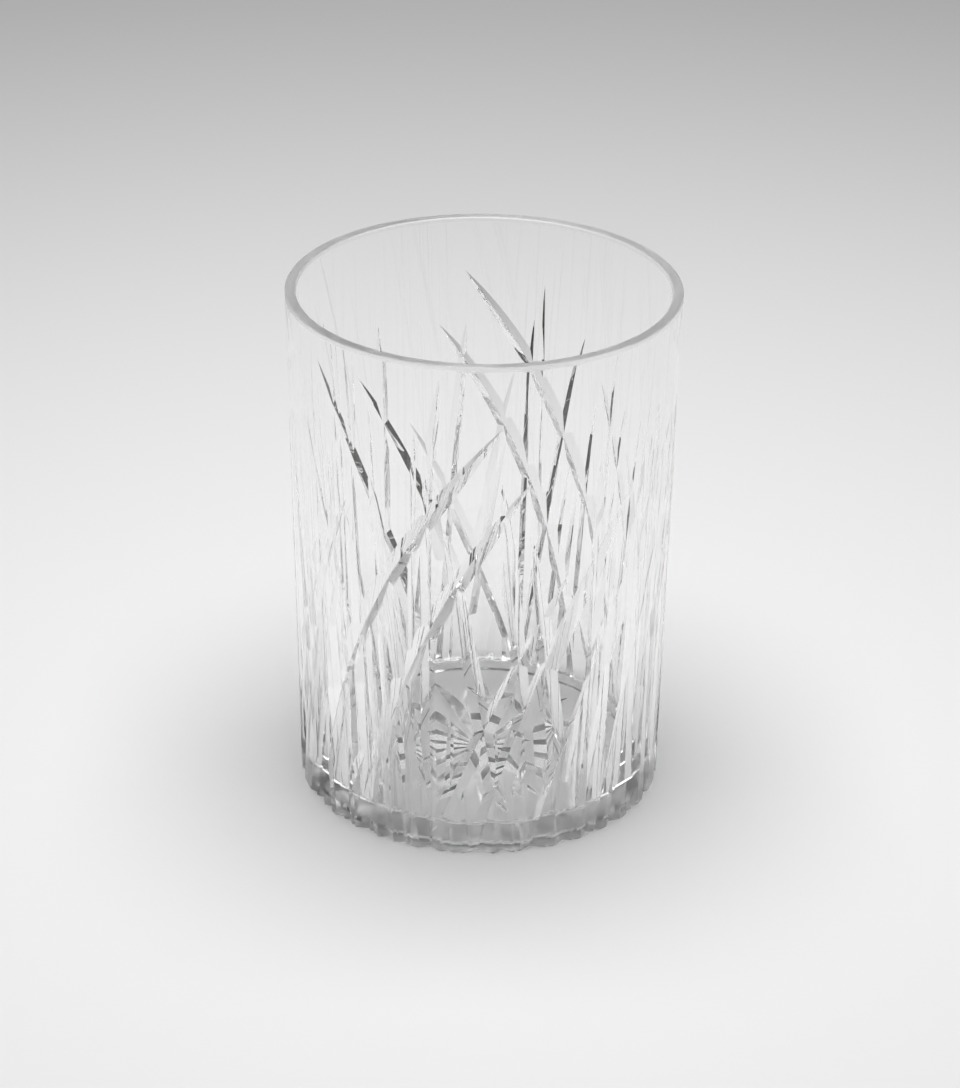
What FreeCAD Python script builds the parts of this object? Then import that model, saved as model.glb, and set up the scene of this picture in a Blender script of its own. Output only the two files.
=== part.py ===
"""A clear cut-crystal style bathroom tumbler, moulded in one piece.

Millimetres, +Z up, origin at the centre of the foot, -Y at the front. The cup is a turned shell
with a star of wheel-cut rays under its floor. Long V-shaped blades are cut into the outside of its
wall: each starts in a sharp tip on the plain upper wall and runs down, deepening, past the foot.
"""
import FreeCAD, Part
import Sketcher
import math
import os

Vector = FreeCAD.Vector

SIZES = [
    # alias, value, meaning
    ("height", 110, "foot to rim"),
    ("rim_diameter", 80, "outside, at the rim"),
    ("base_diameter", 76.6, "outside, at the foot"),
    ("rim_wall", 2.2, "wall at the rim"),
    ("lower_wall", 3.3, "wall at the floor, from the foot's outside to the inner corner"),
    ("floor_thickness", 4.4, "floor, above the recess"),
    ("rim_rounding", 0.35, "both edges of the flat rim"),
    ("floor_corner", 2.0, "inside corner between the wall and the floor"),
    ("foot_width", 5.0, "flat ring that the tumbler stands on"),
    ("foot_recess", 0.6, "height of the recess inside the foot ring"),
    ("star_rays", 16, "rays of the star under the floor"),
    ("star_start", 1.0, "radius where each ray starts"),
    ("star_margin", 4.3, "flat between the rays' ends and the foot ring"),
    ("star_depth", 1.0, "depth in the middle of a ray"),
    ("star_facet_angle", 18, "degrees between a ray's facet and the recess"),
    ("blade_half_width", 2.0, "half width that a blade of size 1 tends to, far below its tip"),
    ("blade_run_in", 8.0, "drop below the tip at which a blade of size 1 has half that width"),
    ("blade_facet_angle", 36, "degrees between a blade's facet and the wall, towards the rim"),
    ("foot_facet_angle", 28, "the same at the foot, where the facets flatten out"),
    ("facet_flattening", 12, "height at which a facet's angle is halfway between the two"),
    ("pattern_repeats", 2, "times the list of blades is repeated around the wall"),
]

# Blades of one repeat: azimuth of the tip and of the foot in degrees from the front, height of the
# tip as a share of the tumbler's height, bow (0 is a straight lean, more leans faster near the tip)
# and size, which scales the width, with it the depth, and the drop over which it builds up.
SWEEPING_BLADES = [
    # tip, tip height, foot, bow, size
    (5, 0.877, -62, 0.61, 1.35),
    (13.5, 0.768, -38, 0.72, 1.4),
    (45.5, 0.695, 0, 0.45, 1.6),
    (70, 0.79, 17, 0.22, 1.8),
    (-43.5, 0.686, -78, 0.38, 0.9),
    (25, 0.568, -16, 0.15, 1.2),
    (54.5, 0.423, 40, 0.1, 0.8),
    (88, 0.727, 47, 0.3, 1.1),
    (25, 0.273, 18, 0.1, 0.9),
    (-31, 0.259, -49, 0.2, 1.1),
    (-49, 0.291, -66, 0.2, 1.0),
    (38.5, 0.45, 27, 0.2, 1.0),
    (-58, 0.573, -85, 0.3, 0.7),
]
STEEP_BLADES = [
    (5.7, 0.768, 17, 0.2, 0.95),
    (15, 0.65, 28, 0.1, 1.3),
    (-34, 0.764, -15, 0, 1.2),
    (-41, 0.632, -36, 0.3, 1.2),
    (-10.5, 0.673, 8, 0.1, 1.2),
    (-66.5, 0.664, -56, 0, 1.1),
    (-74, 0.718, -60, 0.1, 0.8),
    (-55.5, 0.659, -46, 0.1, 1.1),
    (-35.5, 0.473, -30, 0.1, 1.2),
    (35.7, 0.786, 37, 0.3, 1.3),
    (-19.5, 0.859, -22, 0.3, 0.45),
    (-16.3, 0.782, -15, 0, 0.9),
    (-50, 0.764, -46, 0, 1.0),
    (-44.5, 0.509, -43, 0, 0.4),
    (-31.5, 0.495, -24, 0, 0.9),
    (-53, 0.418, -49, 0, 0.8),
    (-60, 0.427, -56, 0, 0.5),
    (-28.5, 0.345, -26, 0, 0.4),
    (53.5, 0.782, 48, 0, 0.9),
    (57.5, 0.795, 56, 0, 0.5),
    (61, 0.845, 59, 0, 0.8),
    (42, 0.627, 40, 0, 0.5),
    (62, 0.609, 68, 0, 0.9),
    (72, 0.745, 66, 0, 0.5),
    (78, 0.818, 80, 0, 1.0),
    (84, 0.682, 88, 0, 0.6),
    (-84, 0.773, -80, 0, 0.8),
    (48.5, 0.727, 56, 0, 0.8),
]
SHORT_BLADES = [
    (-14.5, 0.436, -14, 0, 0.4),
    (-8.5, 0.3, -9.5, 0, 0.6),
    (4.5, 0.273, 6.5, 0, 0.5),
    (3, 0.164, 3, 0, 0.6),
    (-5, 0.159, -3, 0, 0.7),
    (20, 0.2, 22, 0, 0.5),
    (29, 0.155, 31, 0, 0.6),
    (48, 0.155, 47, 0, 0.5),
    (10.5, 0.15, 12, 0, 0.6),
]

OVERRUN = 3.0          # how far a cutter runs past the blade's tip and past the foot
CUTTER_HEADROOM = 0.6  # how far a cutter stands out of the wall
TIP_RISE = 0.1         # slope at which a cutter's edge leaves the wall beyond the tip
CUTTER_STEP = 9.0      # height between a cutter's sections
TANGENT_STEP = 0.5     # height either side of a point between which its tangent is measured
FULL_TURN = 360
WHEEL_ARC = 5          # arc of the star's wheel that is cut, 4 being just the length of a ray
CUTTER_CLEARANCE = 0.5 # least distance between a cutter and the next one in its row


def make_sheet(doc):
    sheet = doc.addObject("Spreadsheet::Sheet", "sizes")
    for row, (alias, value, meaning) in enumerate(SIZES, start=1):
        sheet.set(f"A{row}", meaning)
        sheet.set(f"B{row}", str(value))
        sheet.setAlias(f"B{row}", alias)
    doc.recompute()
    return sheet


def origin_feature(body, role):
    return next(item for item in body.Origin.OriginFeatures if item.Role == role)


def new_sketch(body, name, role):
    sketch = body.newObject("Sketcher::SketchObject", name)
    sketch.AttachmentSupport = [(origin_feature(body, role), "")]
    sketch.MapMode = "FlatFace"
    return sketch


def closed_outline(sketch, points):
    """Straight sides through the points in turn, joined at their ends."""
    corners = [Vector(x, y, 0) for x, y in points]
    count = len(corners)
    for index in range(count):
        sketch.addGeometry(Part.LineSegment(corners[index], corners[(index + 1) % count]), False)
    for index in range(count):
        sketch.addConstraint(Sketcher.Constraint("Coincident", index, 2, (index + 1) % count, 1))


def bind(sketch, name, constraint, expression):
    index = sketch.addConstraint(constraint)
    sketch.renameConstraint(index, name)
    sketch.setExpression(f"Constraints.{name}", expression)


def draw_shell_section(sketch):
    """Half the cup's section, from the axis out along the underside, up the wall and back in."""
    closed_outline(sketch, [(0, 1), (30, 1), (30, 0), (38, 0), (40, 110), (38, 110), (35, 5), (0, 5)])
    recess, step, foot, outside, rim, inside, floor, axis = range(8)
    for side in (recess, foot, rim, floor):
        sketch.addConstraint(Sketcher.Constraint("Horizontal", side))
    for side in (step, axis):
        sketch.addConstraint(Sketcher.Constraint("Vertical", side))
    sketch.addConstraint(Sketcher.Constraint("PointOnObject", recess, 1, -2))
    sketch.addConstraint(Sketcher.Constraint("PointOnObject", foot, 1, -1))
    across = Sketcher.Constraint
    bind(sketch, "Recess", across("DistanceY", -1, 1, recess, 1, 1), "sizes.foot_recess")
    bind(sketch, "FootOuter", across("DistanceX", -1, 1, foot, 2, 38), "sizes.base_diameter / 2")
    bind(sketch, "FootWidth", across("DistanceX", foot, 1, foot, 2, 8), "sizes.foot_width")
    bind(sketch, "RimOuter", across("DistanceX", -1, 1, outside, 2, 40), "sizes.rim_diameter / 2")
    bind(sketch, "Height", across("DistanceY", -1, 1, outside, 2, 110), "sizes.height")
    bind(sketch, "RimWall", across("DistanceX", rim, 2, rim, 1, 2), "sizes.rim_wall")
    bind(sketch, "LowerWall", across("DistanceX", inside, 2, foot, 2, 3), "sizes.lower_wall")
    bind(sketch, "Floor", across("DistanceY", recess, 1, floor, 2, 4), "sizes.floor_thickness")


def circle_edge_name(shape, radius, z):
    """Name of the round edge at this radius and height."""
    for index, edge in enumerate(shape.Edges, start=1):
        curve = edge.Curve
        if not isinstance(curve, Part.Circle):
            continue
        if abs(curve.Radius - radius) < 0.001 and abs(curve.Center.z - z) < 0.001:
            return f"Edge{index}"
    raise ValueError(f"no round edge at radius {radius}, height {z}")


def round_edges(body, feature, name, places, expression):
    fillet = body.newObject("PartDesign::Fillet", name)
    fillet.Base = (feature, [circle_edge_name(feature.Shape, radius, z) for radius, z in places])
    fillet.setExpression("Radius", expression)
    return fillet


def make_turned_shell(doc, size):
    body = doc.addObject("PartDesign::Body", "TurnedShell")
    section = new_sketch(body, "ShellSection", "XZ_Plane")
    draw_shell_section(section)
    shell = body.newObject("PartDesign::Revolution", "Shell")
    shell.Profile = section
    shell.ReferenceAxis = (section, ["V_Axis"])
    shell.Angle = FULL_TURN
    section.Visibility = False
    doc.recompute()

    rim_radius = size.rim_diameter / 2
    rim_places = [(rim_radius, size.height), (rim_radius - size.rim_wall, size.height)]
    rim = round_edges(body, shell, "RimRounding", rim_places, "sizes.rim_rounding")
    doc.recompute()

    floor_top = size.foot_recess + size.floor_thickness
    floor_radius = size.base_diameter / 2 - size.lower_wall
    round_edges(body, rim, "FloorCorner", [(floor_radius, floor_top)], "sizes.floor_corner")
    doc.recompute()
    return body


def add_base_star(doc, body):
    """V-grooves cut by a large sharp-edged wheel, so that each ray is pointed at both ends."""
    profile = new_sketch(body, "RayProfile", "YZ_Plane")
    star_end = "(sizes.base_diameter / 2 - sizes.foot_width - sizes.star_margin)"
    profile.setExpression("AttachmentOffset.Base.z", f"(sizes.star_start + {star_end}) / 2")
    closed_outline(profile, [(0, 1.6), (-8, -1), (8, -1)])
    left, base, right = range(3)
    profile.addGeometry(Part.LineSegment(Vector(-5, -90, 0), Vector(5, -90, 0)), True)
    wheel_axis = 3
    profile.addConstraint(Sketcher.Constraint("PointOnObject", left, 1, -2))
    profile.addConstraint(Sketcher.Constraint("Symmetric", left, 2, right, 1, -2))
    profile.addConstraint(Sketcher.Constraint("Symmetric", wheel_axis, 1, wheel_axis, 2, -2))
    measure = Sketcher.Constraint
    bind(profile, "AxisLength", measure("DistanceX", wheel_axis, 1, wheel_axis, 2, 10), "10")
    bind(profile, "Apex", measure("DistanceY", -1, 1, left, 1, 1.6),
         "sizes.foot_recess + sizes.star_depth")
    bind(profile, "Below", measure("DistanceY", base, 1, -1, 1, 1), "1")
    bind(profile, "HalfWidth", measure("DistanceX", left, 2, left, 1, 8),
         "(sizes.foot_recess + sizes.star_depth + 1) / tan(sizes.star_facet_angle * 1 deg)")
    half_length = f"(({star_end} - sizes.star_start) / 2)"
    bind(profile, "WheelRadius", measure("DistanceY", wheel_axis, 1, left, 1, 90),
         f"({half_length} ^ 2 + sizes.star_depth ^ 2) / (2 * sizes.star_depth)")

    whole = body.Shape.Volume
    ray = body.newObject("PartDesign::Groove", "Ray")
    ray.Profile = profile
    ray.ReferenceAxis = (profile, ["Axis0"])
    ray.Midplane = True
    ray.setExpression("Angle", f"{WHEEL_ARC} * atan(sizes.star_depth / {half_length})")
    profile.Visibility = False
    doc.recompute()
    if ray.Shape.Volume >= whole:
        raise ValueError("the star's ray cuts nothing")

    star = body.newObject("PartDesign::PolarPattern", "Star")
    star.Originals = [ray]
    star.Axis = (origin_feature(body, "Z_Axis"), [""])
    star.Angle = FULL_TURN
    star.setExpression("Occurrences", "sizes.star_rays")
    body.Tip = star
    doc.recompute()


class Wall:
    """The outer wall's cone, and points on it."""

    def __init__(self, size):
        self.height = size.height
        self.base_radius = size.base_diameter / 2
        self.rim_radius = size.rim_diameter / 2

    def outward(self, azimuth):
        angle = math.radians(azimuth)
        return Vector(math.sin(angle), -math.cos(angle), 0)

    def point(self, azimuth, z):
        share = z / self.height
        radius = self.base_radius + (self.rim_radius - self.base_radius) * share
        return self.outward(azimuth) * radius + Vector(0, 0, z)


def blade_azimuth(blade, tip_z, z):
    """Azimuth at height z of the line that the blade's valley follows down the wall."""
    tip, _, foot, bow, _ = blade
    share = (tip_z - z) / tip_z
    return tip + (foot - tip) * (share + bow * share * (1 - share))


def facet_slope(z, size):
    """Depth over half width of a blade at height z."""
    share = max(z, 0) / (max(z, 0) + size.facet_flattening)
    angle = size.foot_facet_angle + (size.blade_facet_angle - size.foot_facet_angle) * share
    return math.tan(math.radians(angle))


def blade_cutter(blade, turn, wall, size):
    """A V-shaped cutter that rises out of the wall at the tip and widens towards the foot."""
    _, tip_share, _, _, scale = blade
    tip_z = tip_share * size.height
    drop = tip_z + 2 * OVERRUN
    steps = max(3, round(drop / CUTTER_STEP))
    sections = []
    for step in range(steps + 1):
        z = tip_z + OVERRUN - drop * step / steps
        below_tip = tip_z - z
        slope = facet_slope(z, size)
        if below_tip < 0:
            depth = TIP_RISE * below_tip
        else:
            share = below_tip / (below_tip + scale * size.blade_run_in)
            depth = scale * size.blade_half_width * share * slope

        azimuth = turn + blade_azimuth(blade, tip_z, z)
        above = wall.point(turn + blade_azimuth(blade, tip_z, z + TANGENT_STEP), z + TANGENT_STEP)
        beneath = wall.point(turn + blade_azimuth(blade, tip_z, z - TANGENT_STEP), z - TANGENT_STEP)
        along = (beneath - above).normalize()
        sideways = along.cross(wall.outward(azimuth)).normalize()
        outward = sideways.cross(along).normalize()

        valley = wall.point(azimuth, z) - outward * depth
        rise = CUTTER_HEADROOM + depth
        half_width = rise / slope
        left = valley + outward * rise - sideways * half_width
        right = valley + outward * rise + sideways * half_width
        sections.append(Part.makePolygon([valley, left, right, valley]))
    solid = True
    return Part.makeLoft(sections, solid)


def cutter_reach(blade, size):
    """Azimuth that the blade's cutter takes to either side of its valley, with its clearance."""
    half_width = CUTTER_HEADROOM / facet_slope(0, size) + blade[4] * size.blade_half_width
    return math.degrees((half_width + CUTTER_CLEARANCE) / (size.base_diameter / 2))


def blades_apart(blade, other, turn_step, size):
    """Whether the two cutters stay clear of each other in every repeat of the pattern."""
    spacing = (blade[0] + blade[2] - other[0] - other[2]) / 2
    spacing -= turn_step * round(spacing / turn_step)
    reach = (abs(blade[0] - blade[2]) + abs(other[0] - other[2])) / 2
    return abs(spacing) > reach + cutter_reach(blade, size) + cutter_reach(other, size)


def rows_of_blades(blades, turn_step, size):
    """The blades in rows whose members don't touch, so that each row can be cut in one go."""
    rows = []
    for blade in blades:
        for row in rows:
            if all(blades_apart(blade, other, turn_step, size) for other in row):
                row.append(blade)
                break
        else:
            rows.append([blade])
    return rows


def cut_blades(shell, size):
    wall = Wall(size)
    cup = shell
    turn_step = FULL_TURN / size.pattern_repeats
    turns = [turn_step * repeat for repeat in range(int(size.pattern_repeats))]
    for row in rows_of_blades(SWEEPING_BLADES + STEEP_BLADES + SHORT_BLADES, turn_step, size):
        cutters = [blade_cutter(blade, turn, wall, size) for blade in row for turn in turns]
        before = cup.Volume
        cup = cup.cut(cutters)
        if not 0 < before - cup.Volume < sum(cutter.Volume for cutter in cutters):
            raise ValueError(f"the cuts failed for the blades {row}")
    return cup


def check(doc, nodes):
    for item in doc.Objects:
        faults = {"Invalid", "Error"} & set(item.State)
        if faults:
            raise RuntimeError(f"{item.Name} is {faults}")
    for node in nodes:
        shape = node.Shape
        if shape.isNull() or not shape.isValid():
            raise RuntimeError(f"{node.Label} has no valid shape")
        if len(shape.Solids) != 1:
            raise RuntimeError(f"{node.Label} is {len(shape.Solids)} solids")


doc = FreeCAD.newDocument("Tumbler")
sheet = make_sheet(doc)

turned_shell = make_turned_shell(doc, sheet)
add_base_star(doc, turned_shell)

tumbler = doc.addObject("Part::Feature", "Tumbler")
tumbler.Label = "tumbler"
tumbler.Shape = cut_blades(turned_shell.Shape, sheet)
tumbler.Placement = FreeCAD.Placement()
doc.recompute()

check(doc, [tumbler])
os.makedirs("parts", exist_ok=True)
tumbler.Shape.exportStep(f"parts/{tumbler.Label}.step")
shape = tumbler.Shape
print(f"{tumbler.Label}: {len(shape.Faces)} faces, {shape.Volume / 1000:.1f} cm3, {shape.BoundBox}")
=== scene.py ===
"""Looks of the clear cut-crystal style tumbler: its finish, the light it stands in and the view.

Metres, +Z up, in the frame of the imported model. One clear piece stands for the moulding: the same
shape, with its round surfaces shaded as round and its cut facets shaded up to their edges.
"""

import math

import bmesh
import bpy
from mathutils import Matrix, Vector


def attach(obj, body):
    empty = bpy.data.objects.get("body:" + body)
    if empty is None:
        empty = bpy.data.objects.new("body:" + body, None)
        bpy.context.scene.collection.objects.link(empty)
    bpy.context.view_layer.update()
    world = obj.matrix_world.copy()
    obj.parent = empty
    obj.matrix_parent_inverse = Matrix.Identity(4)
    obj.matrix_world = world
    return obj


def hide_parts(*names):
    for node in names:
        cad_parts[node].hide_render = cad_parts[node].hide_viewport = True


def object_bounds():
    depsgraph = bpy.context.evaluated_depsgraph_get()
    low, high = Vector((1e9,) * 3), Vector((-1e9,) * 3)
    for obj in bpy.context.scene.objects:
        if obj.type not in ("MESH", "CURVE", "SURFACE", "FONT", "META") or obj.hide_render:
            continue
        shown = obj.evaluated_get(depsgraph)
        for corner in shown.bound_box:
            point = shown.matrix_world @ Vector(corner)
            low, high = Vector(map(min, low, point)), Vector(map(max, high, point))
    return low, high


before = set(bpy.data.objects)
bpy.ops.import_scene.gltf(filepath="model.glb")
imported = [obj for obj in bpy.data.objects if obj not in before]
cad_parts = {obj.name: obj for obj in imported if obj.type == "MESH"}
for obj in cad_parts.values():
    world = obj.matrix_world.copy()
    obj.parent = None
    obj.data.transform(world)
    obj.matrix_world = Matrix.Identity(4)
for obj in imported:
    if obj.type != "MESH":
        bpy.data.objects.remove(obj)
cad_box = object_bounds()

NODE = "tumbler"

WELD_DISTANCE = 2e-6
SAME_FACET = math.radians(7)      # most that two triangles of one smooth facet turn from each other
ROUND_WALL = math.radians(3)      # most that a triangle of a turned surface strays from it
WALL_LEAN = math.radians(4)       # more than any wall leans
LEVEL = math.radians(1.5)         # most that a triangle of a level face leans
FOOT_STEP = 0.001                 # height that the step beside the foot ring stays under

PLASTIC_IOR = 1.49
RIM_SATIN = (0.1086, 0.1094)      # height over which the satin rim sets in
RIM_ROUGHNESS = 0.3
FOOT_SATIN = (0.0045, 0.0035)     # and the satin foot, downward
FOOT_ROUGHNESS = 0.15
WEAR_SCALE = 60.0
WEAR_PATCHES = (0.4, 0.7)         # noise values over which the wear sets in
WEAR_ROUGHNESS = 0.015

CAMERA_ELEVATION = math.radians(27.2)
CAMERA_DISTANCE = 0.6459
CAMERA_ROLL = math.radians(0.65)
LENS = 102.5
SENSOR = 36.0
SHIFT = (-0.0015, -0.0125)

LIGHT_BOUNCES = 64

FLOOR_REACH = 1.6                 # from the middle to each side
FLOOR_DROP = -0.0002
FLOOR_COLOUR = (0.9, 0.9, 0.9)
FLOOR_ROUGHNESS = 0.9
LAMP_SIZE = 0.4
LAMP_HEIGHT = 0.6
LAMP_POWER = 3.2                  # watts
OVERHEAD_FADE = (0.5, 1.0)        # sine of the elevation over which the room brightens
HORIZON_LIGHT = (0.025, 0.027, 0.022)
OVERHEAD_LIGHT = (0.45, 0.447, 0.459)


# --- nodes ----------------------------------------------------------------------------------------

def sum_of(tree, first, second):
    node = tree.nodes.new("ShaderNodeMath")
    node.operation = "ADD"
    tree.links.new(first, node.inputs[0])
    tree.links.new(second, node.inputs[1])
    return node.outputs["Value"]


def fade(tree, value, start, end, low=0.0, high=1.0):
    """A smooth step from low, where the value is at start, to high, where it is at end."""
    node = tree.nodes.new("ShaderNodeMapRange")
    node.interpolation_type = "SMOOTHSTEP"
    node.inputs["From Min"].default_value = start
    node.inputs["From Max"].default_value = end
    node.inputs["To Min"].default_value = low
    node.inputs["To Max"].default_value = high
    tree.links.new(value, node.inputs["Value"])
    return node.outputs["Result"]


def blend_colour(tree, share, first, second):
    """From the first colour, where share is 0, to the second, where it is 1."""
    node = tree.nodes.new("ShaderNodeMix")
    node.data_type = "RGBA"
    tree.links.new(share, node.inputs["Factor"])
    node.inputs["A"].default_value = (*first, 1)
    node.inputs["B"].default_value = (*second, 1)
    return node.outputs["Result"]


def height_in(tree, coordinates):
    split = tree.nodes.new("ShaderNodeSeparateXYZ")
    tree.links.new(coordinates, split.inputs[0])
    return split.outputs["Z"]


# --- the clear moulding ---------------------------------------------------------------------------

def turned_kind(face):
    """Which kind of surface turned about the axis the triangle lies on, or None for a cut facet."""
    normal = face.normal
    if abs(normal.z) > math.cos(LEVEL):
        return "level"
    centre = face.calc_center_median()
    radial = Vector((centre.x, centre.y, 0)).normalized()
    sideways = radial.cross(Vector((0, 0, 1))).dot(normal)
    if abs(sideways) > math.sin(ROUND_WALL):
        return None
    if abs(normal.z) > math.sin(WALL_LEAN):
        return "rounding"
    side = "outer" if radial.dot(normal) > 0 else "inner"
    return side if centre.z > FOOT_STEP else "step"


def wall_leans(faces, kinds):
    """The mean lean of each kind of wall, as its normal's height."""
    leans = {}
    for kind in ("outer", "inner", "step"):
        walls = [face for face in faces if kinds[face.index] == kind]
        area = sum(face.calc_area() for face in walls)
        leans[kind] = sum(face.normal.z * face.calc_area() for face in walls) / area
    return leans


def lean_at(vert, face, kinds, leans):
    """The height of a turned surface's normal at one corner of a triangle."""
    kind = kinds[face.index]
    if kind in leans:
        return leans[kind]
    if kind == "level":
        return math.copysign(1, face.normal.z)
    neighbours = [kinds[other.index] for other in vert.link_faces]
    for wall in leans:
        if wall in neighbours:
            return leans[wall]
    if "level" in neighbours:
        return math.copysign(1, face.normal.z)
    roundings = [other.normal.z for other in vert.link_faces if kinds[other.index] == kind]
    return sum(roundings) / len(roundings)


def turned_normal(vert, face, kinds, leans):
    lean = lean_at(vert, face, kinds, leans)
    outward = Vector((vert.co.x, vert.co.y, 0)).normalized()
    if outward.dot(face.normal) < 0:
        outward.negate()
    return outward * math.sqrt(1 - lean * lean) + Vector((0, 0, lean))


def clear_moulding(node):
    """A copy of the node's mesh, with its corners' normals set to those of the true surfaces."""
    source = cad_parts[node]
    mesh = source.data.copy()
    mesh.name = "clear_tumbler"
    piece = bpy.data.objects.new("clear_tumbler", mesh)
    bpy.context.scene.collection.objects.link(piece)

    work = bmesh.new()
    work.from_mesh(mesh)
    bmesh.ops.remove_doubles(work, verts=work.verts, dist=WELD_DISTANCE)
    work.normal_update()
    work.faces.ensure_lookup_table()
    kinds = [turned_kind(face) for face in work.faces]
    leans = wall_leans(work.faces, kinds)
    turned_corners = {}
    for face in work.faces:
        face.smooth = True
        if kinds[face.index]:
            turned_corners[face.index] = [
                turned_normal(vert, face, kinds, leans) for vert in face.verts
            ]
    for edge in work.edges:
        both_cut = not any(kinds[face.index] for face in edge.link_faces)
        edge.smooth = both_cut and edge.calc_face_angle(math.pi) < SAME_FACET
    work.to_mesh(mesh)
    work.free()

    normals = [corner.vector.copy() for corner in mesh.corner_normals]
    for index, corners in turned_corners.items():
        for loop, normal in zip(mesh.polygons[index].loop_indices, corners):
            normals[loop] = normal
    for edge in mesh.edges:
        edge.use_edge_sharp = False
    mesh.normals_split_custom_set(normals)
    return piece


def clear_plastic():
    """Polished plastic with faint wear, a satin rim and a satin foot."""
    material = bpy.data.materials.new("clear_plastic")
    material.use_nodes = True
    tree = material.node_tree
    shader = tree.nodes["Principled BSDF"]
    shader.inputs["Base Color"].default_value = (1, 1, 1, 1)
    shader.inputs["Transmission Weight"].default_value = 1
    shader.inputs["IOR"].default_value = PLASTIC_IOR

    place = tree.nodes.new("ShaderNodeTexCoord")
    wear = tree.nodes.new("ShaderNodeTexNoise")
    wear.inputs["Scale"].default_value = WEAR_SCALE
    tree.links.new(place.outputs["Object"], wear.inputs["Vector"])
    roughness = fade(tree, wear.outputs["Fac"], *WEAR_PATCHES, 0, WEAR_ROUGHNESS)
    up = height_in(tree, place.outputs["Object"])
    for band, satin in ((RIM_SATIN, RIM_ROUGHNESS), (FOOT_SATIN, FOOT_ROUGHNESS)):
        roughness = sum_of(tree, roughness, fade(tree, up, *band, 0, satin))
    tree.links.new(roughness, shader.inputs["Roughness"])
    return material


# --- the surroundings -----------------------------------------------------------------------------

def pale_floor():
    """A plain matt floor, just below the foot so that the two don't share a plane."""
    mesh = bpy.data.meshes.new("floor")
    corners = [(-FLOOR_REACH, -FLOOR_REACH), (FLOOR_REACH, -FLOOR_REACH),
               (FLOOR_REACH, FLOOR_REACH), (-FLOOR_REACH, FLOOR_REACH)]
    mesh.from_pydata([(x, y, FLOOR_DROP) for x, y in corners], [], [(0, 1, 2, 3)])
    floor = bpy.data.objects.new("floor", mesh)
    bpy.context.scene.collection.objects.link(floor)

    material = bpy.data.materials.new("floor")
    material.use_nodes = True
    shader = material.node_tree.nodes["Principled BSDF"]
    shader.inputs["Base Color"].default_value = (*FLOOR_COLOUR, 1)
    shader.inputs["Roughness"].default_value = FLOOR_ROUGHNESS
    shader.inputs["Specular IOR Level"].default_value = 0.0
    floor.data.materials.append(material)


def soft_room():
    """Dim at the horizon and brighter overhead."""
    world = bpy.data.worlds.new("room")
    bpy.context.scene.world = world
    world.use_nodes = True
    tree = world.node_tree
    tree.nodes.clear()
    output = tree.nodes.new("ShaderNodeOutputWorld")
    light = tree.nodes.new("ShaderNodeBackground")
    direction = tree.nodes.new("ShaderNodeTexCoord")
    up = height_in(tree, direction.outputs["Generated"])
    colour = blend_colour(tree, fade(tree, up, *OVERHEAD_FADE), HORIZON_LIGHT, OVERHEAD_LIGHT)
    tree.links.new(colour, light.inputs["Color"])
    tree.links.new(light.outputs[0], output.inputs["Surface"])


def soft_lamp():
    """A square lamp that shines straight down on the tumbler."""
    light = bpy.data.lights.new("lamp", "AREA")
    light.shape = "SQUARE"
    light.size = LAMP_SIZE
    light.energy = LAMP_POWER
    lamp = bpy.data.objects.new("lamp", light)
    lamp.location = (0, 0, LAMP_HEIGHT)
    bpy.context.scene.collection.objects.link(lamp)


# --- the view -------------------------------------------------------------------------------------

def add_camera():
    back = Vector((0, -math.cos(CAMERA_ELEVATION), math.sin(CAMERA_ELEVATION)))
    target = Vector((0, 0, cad_box[1].z / 2))
    data = bpy.data.cameras.new("camera")
    data.lens = LENS
    data.sensor_width = SENSOR
    data.shift_x, data.shift_y = SHIFT
    data.clip_start = 0.01
    camera = bpy.data.objects.new("camera", data)
    bpy.context.scene.collection.objects.link(camera)
    camera.location = target + back * CAMERA_DISTANCE
    aim = back.to_track_quat("Z", "Y").to_matrix()
    camera.rotation_euler = (aim @ Matrix.Rotation(CAMERA_ROLL, 3, "Z")).to_euler()
    bpy.context.scene.camera = camera


tumbler = clear_moulding(NODE)
tumbler.data.materials.clear()
tumbler.data.materials.append(clear_plastic())
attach(tumbler, "root")
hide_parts(NODE)

pale_floor()
soft_room()
soft_lamp()
add_camera()

scene = bpy.context.scene
scene.view_settings.view_transform = "Standard"
scene.cycles.max_bounces = LIGHT_BOUNCES
scene.cycles.transmission_bounces = LIGHT_BOUNCES
scene.cycles.glossy_bounces = LIGHT_BOUNCES // 2
